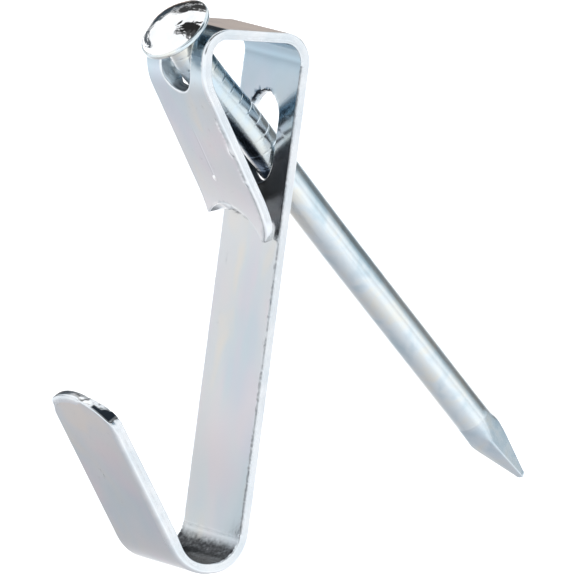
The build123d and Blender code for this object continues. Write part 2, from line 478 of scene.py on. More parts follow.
class Mesh:
    """Vertices and faces that are gathered before one mesh is made."""

    merge = 1e-4

    def __init__(self):
        self.verts, self.faces, self.slots, self.dark = [], [], [], []

    def add(self, verts, faces, slots, dark):
        """Points, faces, each face's material and each point's painted shade, below 0 where a highlight is
        painted.
        """
        base = len(self.verts)
        self.verts += [tuple(v) for v in verts]
        self.faces += [tuple(base + i for i in f) for f in faces]
        self.slots += slots
        self.dark += dark

    def build(self, name, materials):
        mesh = bpy.data.meshes.new(name)
        mesh.from_pydata([Vector(v) * MM for v in self.verts], [], self.faces)
        for material in materials:
            mesh.materials.append(material)
        mesh.polygons.foreach_set("material_index", self.slots)
        mesh.polygons.foreach_set("use_smooth", [True] * len(self.faces))
        mesh.attributes.new("dark", "FLOAT", "POINT").data.foreach_set("value", self.dark)
        bm = bmesh.new()
        bm.from_mesh(mesh)
        bmesh.ops.remove_doubles(bm, verts=bm.verts, dist=self.merge * MM)
        bmesh.ops.recalc_face_normals(bm, faces=bm.faces)
        bm.to_mesh(mesh)
        bm.free()
        return in_scene(name, mesh)


def placed(x, s, height):
    """A point of the blank in space, at a height over the middle line or its straight ends."""
    point, out = path.at(min(max(s, 0.0), path.length - 1e-9))
    extra = s - min(max(s, 0.0), path.length)
    point = point + np.array([-out[1], out[0]]) * extra + out * height
    return (x, point[0], point[1])


# The rows of points round a cut edge, from the outer face over the wall to the inner face
ROLL_ROWS = 9
WALL_ROWS = 9
BURR_ROWS = 4
MARGIN = 0.04


def edge_rows():
    rows = [("margin", 0.0)]
    rows += [("roll", pi / 2 * k / ROLL_ROWS) for k in range(ROLL_ROWS)]
    rows += [("wall", k / WALL_ROWS) for k in range(WALL_ROWS)]
    rows += [("burr", pi / 2 * k / BURR_ROWS) for k in range(BURR_ROWS + 1)]
    return rows + [("inner_margin", 0.0)]


def row_place(row, roll_in, roll_down, burr):
    """How far in from the cut edge a row lies, its height, and its share of the way down the wall."""
    kind, value = row
    top, low = UP - roll_down, -UP + burr
    if kind == "margin":
        return roll_in + MARGIN, UP, 0.0
    if kind == "roll":
        return roll_in * (1 - sin(value)), UP - roll_down * (1 - cos(value)), 0.0
    if kind == "wall":
        return 0.0, top + (low - top) * value, value
    if kind == "burr":
        return burr * (1 - cos(value)), low - burr * sin(value), 1.0
    return burr + MARGIN, -UP, 1.0


class Rim:
    """How one edge of the blank is cut. Each kind of edge gives its own burr and roll-over."""

    def slant(self, x, s):
        """How far out the wall's foot stands from its top."""
        return 0.0

    def aside(self, x, s, share):
        """How far the wall stands to the side."""
        return 0.0

    def deep(self, x, s):
        """How much thicker the wall is at its foot."""
        return 0.0

    def tear(self, x, s, share):
        """How far in the torn wall lies."""
        line = 0.62 + 0.2 * wobble(x, s, 1.3, 7.7)
        depth = clipped((share - line) / 0.2)
        rough = 0.5 + 0.5 * wobble(x, s, 6, share * 3) + 0.3 * wobble(x, s, 16, share * 5)
        return 0.03 * depth * max(0.0, rough)


# How far the notch's wall slants out at its foot, by the place across
NOTCH_SLANT_AT = [-3.15, -2.8, -2.45, -2.1, -1.75, -1.3, -0.9, -0.5, -0.1, 0.3, 0.7, 1.1, 1.5, 2.0]
NOTCH_SLANT = [0.0, 0.32, 0.5, 0.6, 0.7, 0.82, 0.93, 1.02, 1.08, 1.06, 0.92, 0.65, 0.32, 0.0]
HOOK_BURR = 0.17
HOOK_BURR_REACH = 0.45
SLOT_BURR = 0.42
SLOT_BURR_PRESSED = 0.29
SLOT_BURR_LEFT = 0.1
SLOT_BURR_REACH = 0.6


def hook_burr(x, s):
    """How far the burr stands out behind the hook's right edge and the right of its tip."""
    from_tip = s - tip_centre[1] + sqrt(tip_radius**2 - (x - tip_centre[0]) ** 2)
    off = max(0.0, min(HALF - x, from_tip))
    return HOOK_BURR * smooth(0.5, 2.6, x) * hump(s, -1, 10.5, 2.5) * max(0.0, 1 - off / HOOK_BURR_REACH)


def slot_burr(x, s):
    """How far the inner face stands out round the front slot's foot, where the punch came through."""
    off = sqrt(x * x + (s - s_on_brow(FRONT_SLOT_DROP - SLOT_RADIUS)) ** 2) - SLOT_RADIUS
    return front_rim.deep(x, s) * (1 - clipped(off / SLOT_BURR_REACH)) ** 2


def inner_height(x, s):
    return -UP - slot_burr(x, s) - hook_burr(x, s)


def in_notch(s):
    """One along the notch, falling to nothing up the flap."""
    return hump(s, curl_start + 1.0, path.length + 1, 0.4)


class OuterRim(Rim):
    """The outline's edge."""

    burr = 0.06

    def deep(self, x, s):
        return hook_burr(x, s)

    def roll(self, x, s):
        at_tip = hump(s, -1.0, 1.6, 2.0)
        at_hook = hump(s, 0, HOOK_LENGTH + 4, 3.0)
        on_back = hump(s, marks[2][0], marks[4][0], 2.0)
        wide = 0.24 + 0.12 * at_hook + 0.1 * at_tip - 0.12 * on_back
        down = 0.2 + 0.06 * at_hook - 0.1 * on_back
        small = max(
            smooth(-2.9, -3.15, x) * hump(s, 1.6, path.length, 0.6),
            hump(s, -1.0, 2.0, 0.4) * hump(x, 0.6, 2.9, 0.5) * 0.85,
            in_notch(s) * (0.4 + 0.6 * smooth(-1.3, -2.2, x)) * smooth(3.0, 2.3, x),
        )
        on_flap = hump(s, marks[5][1] + 1, path.length - 1.5, 1.0) * smooth(2.9, 3.1, x)
        wide += 0.07 * on_flap * (wobble(x, s, 2.4, 5.5) + 0.5 * wobble(x, s, 6.0, 1.5))
        return wide + (0.06 - wide) * small, down + (0.05 - down) * small

    def slant(self, x, s):
        return in_notch(s) * float(np.interp(x, NOTCH_SLANT_AT, NOTCH_SLANT))

    def tear(self, x, s, share):
        base = super().tear(x, s, share)
        at_tip = hump(s, -1, 1.6, 0.6) * hump(x, 0.4, 3.0, 0.5)
        ragged = 0.05 * max(0.0, 0.4 + wobble(x, s, 5, share * 2) + 0.5 * wobble(x, s, 13, share * 4))
        return base + at_tip * ragged * min(1.0, share * 3)

    def painted_shade_and_fracture(self, x, s, share):
        """Painted shade on the wall, or less than nothing where a highlight is painted: shade in the notch,
        in lines along the back's right edge and across the hook's right edge, highlights along the notch and
        at the tip, and dark broken metal at the tip's right.
        """
        if s > curl_start + 1.0:
            bright = (0.3 * smooth(3.1, 2.0, x) + 0.6 * hump(x, -2.0, 1.0, 0.5)) * (x < 3.1)
            if share <= 0:
                return -bright
            horn_dark = 0.95 * hump(x, -3.3, -2.0, 0.5) * hump(share, 0.02, 0.75, 0.03)
            return horn_dark - bright * smooth(0.6, -0.4, x)
        if share <= 0:
            return 0.0
        if marks[2][1] < s < marks[3][0] and x > 0:
            corner = hump(share, 0.93, 2, 0.05) * clipped(0.75 + 0.6 * wobble(x, s, 21, 8.3))
            second = hump(share, 0.72, 0.76, 0.04) * clipped(0.45 + 0.9 * wobble(x, s, 17, 2.3))
            return max(0.62 * corner, 0.32 * second)
        if x > 3 and 0.8 < s < HOOK_LENGTH:
            return 0.22 * hump(share, 0.36, 0.42, 0.05) * clipped(0.4 + 1.2 * wobble(x, s, 3.0, 4.3))
        if s > 2.4:
            return 0.0
        speckle = 0.3 * wobble(x, s, 4, 2.2) + 0.25 * wobble(x, s, 12, 5.0)
        if x < 1.3:
            cover = float(np.interp(x, (-2.0, -0.9), (0.0, 0.62)))
            edge = clipped((share - cover - 0.3 * speckle) / 0.12)
            return 0.5 * hump(x, -3.1, 0.9, 0.2) * clipped(0.8 + 1.5 * speckle) * edge - 0.4 * (1 - edge)
        top = float(np.interp(x, (1.6, 2.0, 2.4, 2.7), (0.45, 0.6, 0.85, 1.25))) + 0.5 * speckle
        return hump(x, 1.6, 2.9, 0.1) * clipped((top - share) / 0.06) * min(1.0, share / 0.04)


class FrontSlotRim(Rim):
    """The edge of the slot in the brow."""

    burr = 0.05

    def roll(self, x, s):
        return 0.12, 0.1

    def deep(self, x, s):
        low = hump(s, s_on_brow(1.2), s_on_brow(5), 1.0)
        left = hump(s, s_on_brow(0.4), s_on_brow(3.4), 0.8) * hump(x, -2, -1.2, 0.5)
        pressed = SLOT_BURR_PRESSED * smooth(1.1, 0.5, abs(x))
        return low * (SLOT_BURR * hump(x, -2, 0.0, 1.4) - pressed) + SLOT_BURR_LEFT * left

    # Painted shade at the slot's foot, broken by lighter lines, and in spots at its top, with a painted
    # highlight part way down its left
    def painted_shade_and_fracture(self, x, s, share):
        if share <= 0:
            return 0.0
        foot = 0.8 * hump(s, s_on_brow(4.12), s_on_brow(6), 0.3) * min(1.0, share / 0.1)
        top = hump(s, marks[4][0], s_on_brow(2.4), 0.5) * hump(x, -2, -1.1, 0.2)
        spots = clipped(0.45 + 1.3 * wobble(x, s, 3.6, share * 2) + 0.7 * wobble(x, s, 11, share * 4))
        lines = 0.5 * hump(share, 0.3, 0.5, 0.12) + 0.5 * hump(share, 0.8, 0.9, 0.08)
        lit = hump(s, s_on_brow(2.6), s_on_brow(3.7), 0.3) * hump(x, -2, -0.7, 0.3)
        lit *= max(0.0, 0.4 + 0.6 * wobble(x, s, 2.6, 3.1))
        return max(foot * (1 - 0.6 * lines), 0.75 * top * spots) - lit


class BackSlotRim(Rim):
    """The edge of the slot in the back."""

    burr = 0.05

    def roll(self, x, s):
        return 0.07, 0.06

    def slant(self, x, s):
        return BACK_SLOT_FOOT_SLANT * hump(s, back_low - 1, back_low + 0.5, 0.9)

    def aside(self, x, s, share):
        narrow = BACK_SLOT_FOOT_NARROW * max(0.0, -x) * smooth(back_low + 1.9, back_low + 0.9, s)
        return narrow * (1 - share)

    def tear(self, x, s, share):
        base = super().tear(x, s, share)
        at_top = hump(s, back_high - 0.75, back_high + 1, 0.4) * hump(x, -1.7, 0.5, 0.4)
        ragged = 0.16 * max(0.0, 0.45 + wobble(x, s, 3.1, 1.0) + 0.6 * wobble(x, s, 9, 4.0))
        return base + at_top * ragged * max(0.0, (share - 0.55) / 0.45)

    # Painted shadow on the wall's foot, a painted highlight on the foot's right by the inner face, and dark
    # torn metal at the top
    def painted_shade_and_fracture(self, x, s, share):
        at_top = hump(s, back_high - 0.8, back_high + 1, 0.3) * hump(x, -1.5, 0.2, 0.3)
        line = 0.72 + 0.25 * wobble(x, s, 5, 9.0)
        at_foot = 0.95 * hump(s, back_low - 1, back_low + 1.3, 0.5) * smooth(1.25, 0.7, x)
        at_foot *= min(1.0, share / 0.1)
        bright = hump(s, back_low + 0.35, back_low + 1.9, 0.5) * smooth(0.75, 1.1, x) * (share > 0.85)
        return max(at_foot, at_top * clipped((share - line) / 0.1)) - bright


FACE, EDGE = 0, 1
strip_mesh = Mesh()
front_rim = FrontSlotRim()
outer_rings, inner_rings = [], []
rows = edge_rows()
for line, rim, side in ((blank, OuterRim(), 1), (holes[0], front_rim, -1), (holes[1], BackSlotRim(), -1)):
    step = inward(line) * side
    verts, dark, flat_rings = [], [], []
    for row in rows:
        ring = []
        for (x, s), (dx, ds) in zip(line, step):
            roll_in, roll_down = rim.roll(x, s)
            inset, height, share = row_place(row, roll_in, roll_down, rim.burr)
            inset += rim.tear(x, s, share)
            px = x + dx * inset + rim.aside(x, s, share)
            ps = s + ds * inset + rim.slant(x, s) * share
            ring.append((px, ps))
            outer = max(0.0, (height - UP + roll_down) / roll_down) if share == 0 else 0.0
            height += relief(px, ps) * outer - rim.deep(x, s) * share
            if row[0] == "inner_margin":
                height = inner_height(px, ps)
            verts.append(placed(px, ps, height))
            # The wall's painted shade and painted highlight, and its dark broken metal
            dark.append(rim.painted_shade_and_fracture(x, s, share))
        flat_rings.append(np.array(ring))
    faces = bands(len(rows), len(line))
    strip_mesh.add(verts, faces, [EDGE] * len(faces), dark)
    outer_rings.append(flat_rings[0])
    inner_rings.append(flat_rings[-1])


def outer_painted_light(x, s):
    """Painted blue shade on the front top bend, and painted highlight down the flap, on its dots and up the
    hook.
    """
    if s < HOOK_LENGTH:
        return -0.12 * smooth(5, 1, s)
    down = -0.12 * smooth(marks[5][1], curl_start - 2, s)
    down -= 0.38 * smooth(curl_start - 2.5, curl_start + 1.5, s)
    blue_end = marks[4][1] + 0.1 + 0.4 * smooth(1.5, 2.7, x)
    blue = 0.7 * hump(s, marks[4][1] - 1.1, blue_end, 0.45)
    if blue > 0:
        return blue
    dots = max(smooth(DOT_RADIUS + 0.05, DOT_RADIUS - 0.05, hypot(x - sx, s - end)) for sx, _, end in scores)
    return min(down * (s > marks[5][1]), -dots)


# Where the painted shade inside the foot's bend ends
FOOT_DARK_END = 18.15


def inner_painted_shade(x, s):
    """Painted shade inside the flap's end and under the top, a little more low down the back, and darker
    inside the foot's bend.
    """
    if s > marks[5][0]:
        return 0.7 * smooth(curl_start - 5, curl_start - 3, s)
    in_top = 0.3 * smooth(s_on_back(1), s_on_back(4), s) * smooth(s_on_back(7.8), s_on_back(6), s)
    low = 0.04 + 0.12 * smooth(s_on_back(-15), s_on_back(-22.5), s)
    in_corner = 0.35 * smooth(-2.7, -3.1, x)
    in_bend = clipped(FOOT_DARK_END + in_corner - s)
    return max(in_top, low, in_bend) * (s > marks[1][0] - 1)


def outer_height(x, s):
    return UP + relief(x, s)


# The outer and inner faces, each with its painted shade and painted highlight per point
for rings, height, painted_light in (
    (outer_rings, outer_height, outer_painted_light),
    (inner_rings, inner_height, inner_painted_shade),
):
    flat, tris = filled(rings[0], rings[1:])
    verts = [placed(x, s, height(x, s)) for x, s in flat]
    strip_mesh.add(verts, tris, [FACE] * len(tris), [painted_light(x, s) for x, s in flat])


# The nail: rings of points about its axis

into = Vector((0, cos(radians(NAIL_ANGLE)), -sin(radians(NAIL_ANGLE))))
over = Vector((0, sin(radians(NAIL_ANGLE)), cos(radians(NAIL_ANGLE))))
across = Vector((1, 0, 0))

bend_aside = FRONT_TOP_RADIUS * (1 + sin(radians(BROW_LEAN))) / cos(radians(BROW_LEAN))
bend_centre = Vector((0, front_top[0] + bend_aside, front_top[1] - FRONT_TOP_RADIUS))
head_under = bend_centre.dot(into) - FRONT_TOP_RADIUS - UP - HEAD_STANDS_OFF
rim_top = head_under - HEAD_RIM
crown = rim_top - HEAD_DOME
grip_start = head_under + NECK_LENGTH
point_start = NAIL_REACH - POINT_LENGTH
point_end = NAIL_REACH - TIP_CROWN
flare_end = NAIL_REACH - FLARE_TO_TIP
first_groove = (1 - GROOVE_COUNT) * GROOVE_PITCH
# The angle about the nail that faces the camera
CAMERA_SIDE = radians(-21.3)
BEND_ASIDE = 0.1
BEND_SAG = 0.22
MARK_DEPTH = 0.05
MARK_SIDES = (52, 232)
RING_HEIGHT = 0.022
HEAD_ROUND = 0.09
NECK_ROUND = 0.12
TURNS = 144
GRIP_STEP = 0.045
SHANK_STEP = 0.4
POINT_STEP = 0.09
angles = [2 * pi * k / TURNS for k in range(TURNS)]


def around(angle):
    """A direction square to the nail, at an angle from +X towards its upper side."""
    return across * cos(angle) + over * sin(angle)


def middle_at(along, shift=0.0):
    """The middle of the slightly bent nail, shifted towards where its tip lies aside."""
    off = along - 7
    aside = BEND_ASIDE * clipped(-along / 12)
    sag = BEND_SAG * smooth(-2, -7.5, along) * smooth(head_under, head_under + 2.2, along)
    above = -sag + 0.0091 * sqrt(off * off + 9) - 0.0013 * off - 0.08
    return into * along + across * aside + over * above + around(radians(POINT_ASIDE_TURN)) * shift


def window(angle, middle, half, soft):
    """One within half of a middle angle, falling to nothing over soft, both in degrees."""
    off = abs((angle - middle + pi) % (2 * pi) - pi)
    return clipped((radians(half) + radians(soft) - off) / radians(soft))


def grip(along, angle):
    """How deep the pressed grip marks are: on two sides, saw teeth with a sharp step each."""
    if along > GRIP_PAST_WALL - 1.2 or along < grip_start + 0.3:
        return 0.0
    phase = ((along - first_groove) / GROOVE_PITCH) % 1.0
    tooth = (1 - phase) if phase > 0.12 else phase / 0.12
    groove = max(0.0, 1 - abs(phase - 0.06) / 0.09) + max(0.0, 1 - abs(phase - 1.06) / 0.09)
    deep = 0.0
    for side in MARK_SIDES:
        deep += MARK_DEPTH * tooth * window(angle, CAMERA_SIDE + radians(side), 14, 16)
    ring = RING_HEIGHT * min(1.0, groove) * (0.6 + 0.4 * noise.noise(Vector((angle * 2, along, 1))))
    return deep + ring


def shank_radius(along, angle=0.0):
    """The nail's round radius below its head. Its flare ends sooner on the upper side."""
    if along < grip_start:
        share = (along - head_under) / NECK_LENGTH
        return NECK_RADIUS + (GRIP_RADIUS - NECK_RADIUS) * smooth(0, 1, share)
    if along < GRIP_PAST_WALL:
        return GRIP_RADIUS
    plain = GRIP_RADIUS + (NAIL_RADIUS - GRIP_RADIUS) * min(1.0, (along - GRIP_PAST_WALL) / GRIP_TAPER)
    end = flare_end - 0.42 * sin(angle)
    return plain + FLARE * smooth(end - FLARE_LENGTH, end, along)


def uneven_radius(along, angle):
    """The shank's radius with its grip marks and slight waves."""
    waves = noise.noise(Vector((cos(angle) * 1.5, sin(angle) * 1.5, along * 0.12)))
    return shank_radius(along) - grip(along, angle) + 0.004 * waves


def soft_least(values, soft):
    """The least of the values, blended where two are close."""
    values = np.array(values)
    least = values.min()
    return float(least - soft * np.log(np.sum(np.exp(-(values - least) / soft))))


def point_radius(along, angle, shift):
    """The nail's radius about its shifted middle in the point, where four flats lean in to the tip."""
    share = (along - point_start) / POINT_LENGTH
    round_radius = shank_radius(along, angle)
    flat = NAIL_RADIUS + (POINT_TIP_HALF - NAIL_RADIUS) * share
    flat += (round_radius - NAIL_RADIUS) * max(0.0, 1 - share / 0.15) ** 2
    off = angle - radians(POINT_ASIDE_TURN)
    aside = -shift * cos(off)
    parts = [aside + sqrt(max(0.0, round_radius**2 - (shift * sin(off)) ** 2))]
    for k in range(4):
        turn = angle - radians(FLAT_TURN + 90 * k)
        if cos(turn) > 0.2:
            parts.append((flat + (LOW_FLATS_OUT if k > 1 else 0) * (1 - share * 0.5)) / cos(turn))
    return soft_least(parts, 0.02 + 0.062 * clipped(share * 3) * (1 - 0.6 * share))


def nail_painted_shade(kind, along, angle):
    """Painted shade on the nail: darker streaks on the grip's low side and a darker point, and less than
    nothing, a painted highlight, on its far side.
    """
    if kind == "rim":
        return 0.0
    if kind == "point":
        return 0.12 + 0.16 * window(angle, CAMERA_SIDE - radians(35), 30, 15)
    low_side = 0.14 * window(angle, CAMERA_SIDE - radians(26), 22, 16) * smooth(1.0, 3.0, along)
    half = 6 + 8 * smooth(-7.5, -1.5, along) + 4 * wobble(0, along, 1.1, 6.6)
    streak = window(angle, CAMERA_SIDE - radians(42), half, 9) * smooth(-9.5, -6.0, along)
    far_side = -0.5 * window(angle, CAMERA_SIDE - radians(84), 14, 9)
    return max(low_side, 0.75 * streak * smooth(1.6, 0.6, along)) + far_side


nail_mesh = Mesh()
verts, dark, kinds = [tuple(middle_at(crown))], [0.0], []


def add_ring(kind, along, radius_of, shift=0.0):
    """A ring of points about the nail's middle, its radius a function of the angle."""
    middle = middle_at(along, shift)
    verts.extend(tuple(middle + around(t) * radius_of(t)) for t in angles)
    dark.extend(nail_painted_shade(kind, along, t) for t in angles)
    kinds.append(kind)


def quarter(count):
    """Angles over a quarter turn, without the first."""
    return [pi / 2 * k / count for k in range(1, count + 1)]


dome_reach = HEAD_RADIUS - DOME_INSET
dome_radius = (dome_reach**2 + HEAD_DOME**2) / (2 * HEAD_DOME)
dome_half = asin(dome_reach / dome_radius)
DOME_ROWS = 44
rings = []
for k in range(1, DOME_ROWS + 1):
    turn = dome_half * k / DOME_ROWS
    rings.append(("head", crown + dome_radius * (1 - cos(turn)), dome_radius * sin(turn)))
for turn in quarter(8):
    along = rim_top + DOME_INSET * 1.2 * (1 - cos(turn)) + 0.02 * sin(turn)
    rings.append(("rim", along, dome_reach + DOME_INSET * sin(turn)))
for turn in quarter(8):
    radius = HEAD_RADIUS - HEAD_ROUND * (1 - cos(turn))
    rings.append(("rim", head_under - HEAD_ROUND + HEAD_ROUND * sin(turn), radius))
for radius in np.linspace(HEAD_RADIUS - HEAD_ROUND, NECK_RADIUS + NECK_ROUND, 10)[1:]:
    rings.append(("under", head_under, radius))
for turn in quarter(5):
    radius = NECK_RADIUS + NECK_ROUND * (1 - sin(turn))
    rings.append(("neck", head_under + NECK_ROUND * (1 - cos(turn)), radius))
for kind, along, radius in rings:
    add_ring(kind, along, lambda t: radius)

stations = places_between(head_under + 0.16, GRIP_PAST_WALL, GRIP_STEP)
stations += places_between(GRIP_PAST_WALL, point_start, SHANK_STEP)[1:]
for along in stations:
    add_ring("shank", along, lambda t: uneven_radius(along, t))
for along in places_between(point_start, point_end, POINT_STEP)[1:]:
    shift = POINT_ASIDE * (along - point_start) / POINT_LENGTH
    add_ring("point", along, lambda t: point_radius(along, t, shift), shift)
for turn in quarter(7)[:-1]:
    along = point_end + TIP_CROWN * sin(turn)
    shift = POINT_ASIDE * (along - point_start) / POINT_LENGTH
    add_ring("point", along, lambda t: point_radius(point_end, t, shift) * cos(turn), shift)
verts.append(tuple(middle_at(NAIL_REACH, POINT_ASIDE)))
dark.append(0.0)

HEAD, SHANK = 0, 1
tip_ring = 1 + (len(kinds) - 1) * TURNS
faces = [(0, 1 + k, 1 + (k + 1) % TURNS) for k in range(TURNS)]
faces += bands(len(kinds), TURNS, 1)
faces += [(tip_ring + k, len(verts) - 1, tip_ring + (k + 1) % TURNS) for k in range(TURNS)]
head_rings = kinds.count("head")
slots = [HEAD] * (TURNS * head_rings) + [SHANK] * (TURNS * (len(kinds) - head_rings + 1))
nail_mesh.add(verts, faces, slots, dark)


# Materials

class Nodes:
    """A tree of shader nodes, and short ways to add to it."""

    def __init__(self, tree):
        self.tree = tree

    def add(self, kind, **values):
        node = self.tree.nodes.new("ShaderNode" + kind)
        for key, value in values.items():
            setattr(node, key, value)
        return node

    def put(self, value, socket):
        """Links a node's output to a socket, or sets the socket. A colour is given without its alpha."""
        if isinstance(value, bpy.types.NodeSocket):
            self.tree.links.new(value, socket)
        else:
            socket.default_value = (*value, 1) if socket.type == "RGBA" else value

    def made(self, kind, inputs, output=0, **values):
        """The output of a new node, whose inputs are given by name or number."""
        node = self.add(kind, **values)
        for key, value in inputs.items():
            self.put(value, node.inputs[key])
        return node.outputs[output]

    def span(self, value, low, high, to_low, to_high, kind="LINEAR"):
        limits = {"From Min": low, "From Max": high, "To Min": to_low, "To Max": to_high}
        return self.made("MapRange", {"Value": value, **limits}, interpolation_type=kind)

    def mixed(self, share, one, two):
        return self.made("Mix", {0: share, 6: one, 7: two}, 2, data_type="RGBA")

    def blended(self, share, one, two):
        return self.made("MixShader", {0: share, 1: one, 2: two})

    def math(self, operation, one, two=0.5):
        return self.made("Math", {0: one, 1: two}, operation=operation)

    def times(self, one, two):
        return self.math("MULTIPLY", one, two)


class Metal(Nodes):
    """A new material with a metal shader."""

    def __init__(self, name):
        self.material = bpy.data.materials.new(name)
        self.material.use_nodes = True
        super().__init__(self.material.node_tree)
        self.shader = self.tree.nodes["Principled BSDF"]
        self.give("Metallic", 1.0)
        self.place = self.add("TexCoord").outputs["Object"]

    def give(self, name, value):
        self.put(value, self.shader.inputs[name])

    def stretched(self, scale, turn=(0, 0, 0)):
        """The place in space, turned and then scaled."""
        turned_place = self.made("Mapping", {"Vector": self.place, "Rotation": turn}, vector_type="TEXTURE")
        return self.made("Mapping", {"Vector": turned_place, "Scale": scale})

    def noise(self, scale, detail=3.0, place=None, rough=0.55, warp=0.0):
        inputs = {"Vector": place or self.place, "Scale": scale, "Detail": detail}
        return self.made("TexNoise", {**inputs, "Roughness": rough, "Distortion": warp})

    def height(self):
        return self.made("SeparateXYZ", {0: self.place}, "Z")

    def painted_shade(self):
        """The mesh's painted shade: over nothing darker, and under it a painted highlight. On the strip's
        edges it also marks dark broken and torn metal.
        """
        return self.made("Attribute", {}, "Fac", attribute_name="dark")

    # A painted highlight where the painted shade is below nothing
    def brighter(self, painted_shade, color, bright):
        return self.mixed(self.times(painted_shade, -1.0), color, bright)

    def ramp(self, value, stops):
        node = self.add("ValToRGB")
        ends = node.color_ramp.elements
        for end, (at, color) in ((ends[0], stops[0]), (ends[1], stops[-1])):
            end.position = at
            end.color = (*color, 1)
        for at, color in stops[1:-1]:
            ends.new(at).color = (*color, 1)
        self.put(value, node.inputs["Fac"])
        return node.outputs["Color"]

    def bump(self, heights):
        """Bumps, each a value and its height in metres, one over the other."""
        inputs = {"Strength": 1.0}
        for value, height in heights:
            normal = self.made("Bump", {**inputs, "Distance": height, "Height": value})
            inputs["Normal"] = normal
        self.give("Normal", normal)


def strip_face():
    m = Metal("zinc_sheet")
    height = m.height()
    clouds = m.stretched((190, 190, 85))
    cool = [(0.36, (0.52, 0.63, 0.7)), (0.5, (0.655, 0.675, 0.7)), (0.64, (0.72, 0.69, 0.68))]
    warm = [
        (0.36, (0.71, 0.645, 0.7)),
        (0.48, (0.655, 0.675, 0.705)),
        (0.55, (0.635, 0.68, 0.705)),
        (0.66, (0.74, 0.7, 0.63)),
    ]
    cool_clouds = m.ramp(m.noise(1.0, 2, clouds), cool)
    warm_clouds = m.ramp(m.noise(1.5, 2, clouds, warp=0.3), warm)
    color = m.mixed(0.5, cool_clouds, warm_clouds)
    # Bluer higher up the strip, most on the top bends: painted blue shade
    color = m.mixed(m.span(height, 0.001, 0.0085, 0.0, 0.75), color, (0.4, 0.56, 0.66))
    color = m.mixed(m.span(height, 0.0055, 0.0088, 0.0, 0.55), color, (0.26, 0.48, 0.64))
    top_clouds = [(0.38, (0.5, 0.28, 0.48)), (0.5, (0.72, 0.5, 0.44)), (0.62, (0.85, 0.74, 0.3))]
    on_top = m.ramp(m.noise(420, 2, warp=0.5), top_clouds)
    color = m.mixed(m.span(height, 0.0089, 0.0093, 0.0, 0.9), color, on_top)
    # Painted shade from the mesh, mottled most down in the foot's bend, towards near black low down and dark
    # blue high up, and a painted highlight towards white where it is below nothing
    painted_shade = m.painted_shade()
    in_foot = m.span(height, -0.0225, -0.0215, 1.0, 0.12)
    over_base = m.math("MAXIMUM", m.math("SUBTRACT", painted_shade, 0.24), 0.0)
    between = m.times(m.times(over_base, m.math("SUBTRACT", 1.25, painted_shade)), in_foot)
    shade_mottle = m.times(m.math("SUBTRACT", m.noise(1300, 6, rough=0.8), 0.5), between)
    shade_mottle = m.math("ADD", shade_mottle, m.times(m.math("SUBTRACT", m.noise(3600, 2), 0.5), between))
    shade = m.math("ADD", m.times(painted_shade, 0.96), m.times(shade_mottle, 2.4))
    shade_tone = m.mixed(m.span(height, -0.002, 0.006, 0.0, 1.0), (0.022, 0.024, 0.028), (0.05, 0.12, 0.19))
    color = m.brighter(painted_shade, m.mixed(shade, color, shade_tone), (0.97, 0.97, 0.98))
    color = m.mixed(m.span(m.noise(2600, 2), 0.66, 0.78, 0, 0.35), color, (0.45, 0.46, 0.48))
    scratch_place = m.stretched((1500, 5200, 700), (0.5, 0.35, 0.9))
    scratch = m.span(m.noise(1.0, 2, scratch_place, warp=0.4), 0.68, 0.74, 0, 1)
    scuff = m.times(scratch, m.span(m.noise(300, 1), 0.58, 0.68, 0, 1))
    m.give("Base Color", m.mixed(m.times(scuff, 0.55), color, (0.3, 0.31, 0.34)))
    in_bend = m.span(height, -0.0245, -0.0225, 1.0, 0.0)
    rough = m.math("ADD", m.span(m.noise(240, 3), 0.3, 0.7, 0.11, 0.17), m.times(in_bend, 0.07))
    m.give("Roughness", m.math("ADD", rough, m.times(scuff, 0.2)))
    grain = m.times(m.noise(5200, 3), in_bend)
    mottle = m.times(m.noise(1300, 3, warp=0.3), in_bend)
    m.bump([(m.noise(260, 2), 2.2e-5), (mottle, 1.6e-5), (grain, 7e-6), (scuff, -2e-6)])
    return m.material


def strip_edge():
    m = Metal("zinc_sheared_edge")
    painted_shade = m.painted_shade()
    clouds = m.ramp(m.noise(500, 3), [(0.32, (0.64, 0.69, 0.73)), (0.6, (0.73, 0.755, 0.78))])
    # Painted shade on the cut walls towards near black, with dark broken metal, and a painted highlight
    # towards white where it is below nothing
    m.give("Base Color", m.brighter(painted_shade, m.mixed(painted_shade, clouds, (0.03, 0.041, 0.056)), (1.0, 1.0, 1.0)))
    rough = m.span(m.noise(900, 2), 0.3, 0.7, 0.18, 0.28)
    m.give("Roughness", m.math("ADD", rough, m.times(m.math("MAXIMUM", painted_shade, 0.0), 0.3)))
    m.bump([(m.noise(3800, 3), 2.5e-6), (m.noise(700, 2), 5e-6)])
    return m.material


